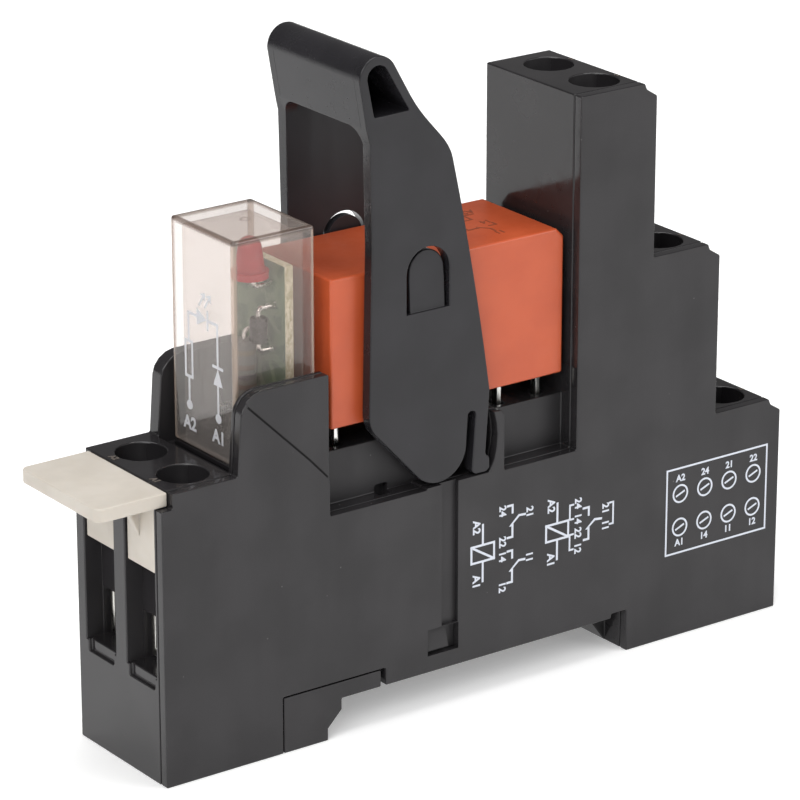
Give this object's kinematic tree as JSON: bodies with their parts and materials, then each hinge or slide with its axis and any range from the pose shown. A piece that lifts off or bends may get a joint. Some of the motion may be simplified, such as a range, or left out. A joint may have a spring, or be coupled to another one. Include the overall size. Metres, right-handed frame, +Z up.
{
  "type": "plug in relay",
  "caption": "DIN-rail relay socket with a plugged-in orange relay, clear indicator module, ejector lever over the relay and a marking tag; stepped screw terminals.",
  "frame": {"origin": "middle of the flat seat under the socket that rests on the DIN rail, midway between the two feet", "axes": "+X along the socket from the coil terminals to the stepped contact terminals, +Y across its width, +Z up away from the rail"},
  "size_m": [0.0854, 0.016, 0.0705],
  "materials": {
    "housing_black": "satin moulded black plastic",
    "lever_black": "satin moulded black plastic, a little glossier",
    "tag_cream": "matt cream plastic",
    "module_clear": "clear plastic with a smoky warm tint",
    "base_black": "matt black plastic",
    "circuit_board": "glass-fibre board with a green face",
    "lamp_red": "tinted clear red resin",
    "diode_body": "black moulded epoxy",
    "resistor_body": "lacquered, colour bands",
    "relay_orange": "satin orange plastic",
    "bobbin_ivory": "natural plastic",
    "winding_copper": "enamelled copper wire",
    "soft_iron": "plated soft iron",
    "spring_steel": "bright spring steel",
    "strip_brass": "rolled brass strip",
    "contact_brass": "rolled copper alloy with silver rivets",
    "zinc_steel": "zinc plated steel",
    "tinned_pin": "tinned copper alloy"
  },
  "bodies": {
    "socket": {"socket_housing": "housing_black", "side_cover": "housing_black", "contact_strip_A1": "strip_brass", "contact_strip_A2": "strip_brass", "contact_strip_11": "strip_brass", "contact_strip_12": "strip_brass", "contact_strip_14": "strip_brass", "contact_strip_21": "strip_brass", "contact_strip_22": "strip_brass", "contact_strip_24": "strip_brass"},
    "rail_latch": {"rail_latch": "housing_black"},
    "ejector_lever": {"ejector_lever": "lever_black"},
    "marking_tag": {"marking_tag": "tag_cream"},
    "indicator_module": {"module_cover": "module_clear", "module_base": "base_black", "module_board": "circuit_board", "indicator_lamp": "lamp_red", "blocking_diode": "diode_body", "series_resistor": "resistor_body", "module_blade_A1": "tinned_pin", "module_blade_A2": "tinned_pin"},
    "relay": {"relay_cover": "relay_orange", "relay_base": "base_black", "coil_bobbin": "bobbin_ivory", "coil_winding": "winding_copper", "coil_core": "soft_iron", "coil_yoke": "soft_iron", "return_spring": "spring_steel", "coil_pin_A1": "tinned_pin", "common_pin_11": "tinned_pin", "closed_contact_12": "contact_brass", "open_contact_14": "contact_brass", "coil_pin_A2": "tinned_pin", "common_pin_21": "tinned_pin", "closed_contact_22": "contact_brass", "open_contact_24": "contact_brass"},
    "armature": {"armature": "soft_iron"},
    "actuator_card": {"actuator_card": "bobbin_ivory"},
    "moving_contact_11": {"moving_contact_11": "contact_brass"},
    "moving_contact_21": {"moving_contact_21": "contact_brass"},
    "terminal_screw_A1": {"terminal_screw_A1": "zinc_steel"},
    "clamp_cage_A1": {"clamp_cage_A1": "zinc_steel"},
    "terminal_screw_A2": {"terminal_screw_A2": "zinc_steel"},
    "clamp_cage_A2": {"clamp_cage_A2": "zinc_steel"},
    "terminal_screw_12": {"terminal_screw_12": "zinc_steel"},
    "clamp_cage_12": {"clamp_cage_12": "zinc_steel"},
    "terminal_screw_22": {"terminal_screw_22": "zinc_steel"},
    "clamp_cage_22": {"clamp_cage_22": "zinc_steel"},
    "terminal_screw_11": {"terminal_screw_11": "zinc_steel"},
    "clamp_cage_11": {"clamp_cage_11": "zinc_steel"},
    "terminal_screw_21": {"terminal_screw_21": "zinc_steel"},
    "clamp_cage_21": {"clamp_cage_21": "zinc_steel"},
    "terminal_screw_14": {"terminal_screw_14": "zinc_steel"},
    "clamp_cage_14": {"clamp_cage_14": "zinc_steel"},
    "terminal_screw_24": {"terminal_screw_24": "zinc_steel"},
    "clamp_cage_24": {"clamp_cage_24": "zinc_steel"}
  },
  "joints": [
    {"name": "lever_swing", "type": "hinge", "parent": "socket", "child": "ejector_lever", "pos_m": [-0.0063, 0, 0.0241], "axis": [0, -1, 0], "range_deg": [0, 18]},
    {"name": "relay_lift", "type": "slide", "parent": "socket", "child": "relay", "axis": [0, 0, 1], "range_m": [0, 0.00156]},
    {"name": "module_pull", "type": "slide", "parent": "socket", "child": "indicator_module", "axis": [0, 0, 1], "range_m": [0, 0.004]},
    {"name": "tag_pull", "type": "slide", "parent": "socket", "child": "marking_tag", "axis": [-1, 0, 0], "range_m": [0, 0.008]},
    {"name": "latch_flex", "type": "hinge", "parent": "socket", "child": "rail_latch", "pos_m": [-0.0143, 0, 0.00095], "axis": [0, -1, 0], "range_deg": [0, 5], "stiffness_Nm_per_rad": 0.6},
    {"name": "armature_pull", "type": "hinge", "parent": "relay", "child": "armature", "pos_m": [-0.01605, 0, 0.03032], "axis": [0, 1, 0], "range_deg": [0, 3], "stiffness_Nm_per_rad": 0.02},
    {"name": "card_slide", "type": "slide", "parent": "relay", "child": "actuator_card", "axis": [1, 0, 0], "range_m": [0, 0.0006]},
    {"name": "contact_11_bend", "type": "hinge", "parent": "relay", "child": "moving_contact_11", "pos_m": [0.0037, -0.00375, 0.03002], "axis": [0, 1, 0], "range_deg": [0, 3.05]},
    {"name": "contact_21_bend", "type": "hinge", "parent": "relay", "child": "moving_contact_21", "pos_m": [0.0037, 0.00375, 0.03002], "axis": [0, 1, 0], "range_deg": [0, 3.05]},
    {"name": "cage_A1_lift", "type": "slide", "parent": "socket", "child": "clamp_cage_A1", "axis": [0, 0, 1], "range_m": [0, 0.00225]},
    {"name": "screw_A1_turn", "type": "hinge", "parent": "socket", "child": "terminal_screw_A1", "pos_m": [-0.0343, -0.00375, 0.01205], "axis": [0, 0, -1], "range_deg": [0, 1621]},
    {"name": "cage_A2_lift", "type": "slide", "parent": "socket", "child": "clamp_cage_A2", "axis": [0, 0, 1], "range_m": [0, 0.00225]},
    {"name": "screw_A2_turn", "type": "hinge", "parent": "socket", "child": "terminal_screw_A2", "pos_m": [-0.0343, 0.00375, 0.01205], "axis": [0, 0, -1], "range_deg": [0, 1621]},
    {"name": "cage_12_lift", "type": "slide", "parent": "socket", "child": "clamp_cage_12", "axis": [0, 0, 1], "range_m": [0, 0.00225]},
    {"name": "screw_12_turn", "type": "hinge", "parent": "socket", "child": "terminal_screw_12", "pos_m": [0.03415, -0.00375, 0.00745], "axis": [0, 0, -1], "range_deg": [0, 1621]},
    {"name": "cage_22_lift", "type": "slide", "parent": "socket", "child": "clamp_cage_22", "axis": [0, 0, 1], "range_m": [0, 0.00225]},
    {"name": "screw_22_turn", "type": "hinge", "parent": "socket", "child": "terminal_screw_22", "pos_m": [0.03415, 0.00375, 0.00745], "axis": [0, 0, -1], "range_deg": [0, 1621]},
    {"name": "cage_11_lift", "type": "slide", "parent": "socket", "child": "clamp_cage_11", "axis": [0, 0, 1], "range_m": [0, 0.00225]},
    {"name": "screw_11_turn", "type": "hinge", "parent": "socket", "child": "terminal_screw_11", "pos_m": [0.02515, -0.00375, 0.02765], "axis": [0, 0, -1], "range_deg": [0, 1621]},
    {"name": "cage_21_lift", "type": "slide", "parent": "socket", "child": "clamp_cage_21", "axis": [0, 0, 1], "range_m": [0, 0.00225]},
    {"name": "screw_21_turn", "type": "hinge", "parent": "socket", "child": "terminal_screw_21", "pos_m": [0.02515, 0.00375, 0.02765], "axis": [0, 0, -1], "range_deg": [0, 1621]},
    {"name": "cage_14_lift", "type": "slide", "parent": "socket", "child": "clamp_cage_14", "axis": [0, 0, 1], "range_m": [0, 0.00225]},
    {"name": "screw_14_turn", "type": "hinge", "parent": "socket", "child": "terminal_screw_14", "pos_m": [0.01625, -0.00375, 0.04645], "axis": [0, 0, -1], "range_deg": [0, 1621]},
    {"name": "cage_24_lift", "type": "slide", "parent": "socket", "child": "clamp_cage_24", "axis": [0, 0, 1], "range_m": [0, 0.00225]},
    {"name": "screw_24_turn", "type": "hinge", "parent": "socket", "child": "terminal_screw_24", "pos_m": [0.01625, 0.00375, 0.04645], "axis": [0, 0, -1], "range_deg": [0, 1621]}
  ],
  "couplings": [
    {"joint": "relay_lift", "follows": "lever_swing", "m_per_rad": 0.00493},
    {"joint": "card_slide", "follows": "armature_pull", "m_per_rad": 0.01085},
    {"joint": "contact_11_bend", "follows": "armature_pull", "ratio": 1},
    {"joint": "contact_21_bend", "follows": "armature_pull", "ratio": 1},
    {"joint": "screw_A1_turn", "follows": "cage_A1_lift", "rad_per_m": 12566},
    {"joint": "screw_A2_turn", "follows": "cage_A2_lift", "rad_per_m": 12566},
    {"joint": "screw_12_turn", "follows": "cage_12_lift", "rad_per_m": 12566},
    {"joint": "screw_22_turn", "follows": "cage_22_lift", "rad_per_m": 12566},
    {"joint": "screw_11_turn", "follows": "cage_11_lift", "rad_per_m": 12566},
    {"joint": "screw_21_turn", "follows": "cage_21_lift", "rad_per_m": 12566},
    {"joint": "screw_14_turn", "follows": "cage_14_lift", "rad_per_m": 12566},
    {"joint": "screw_24_turn", "follows": "cage_24_lift", "rad_per_m": 12566}
  ]
}
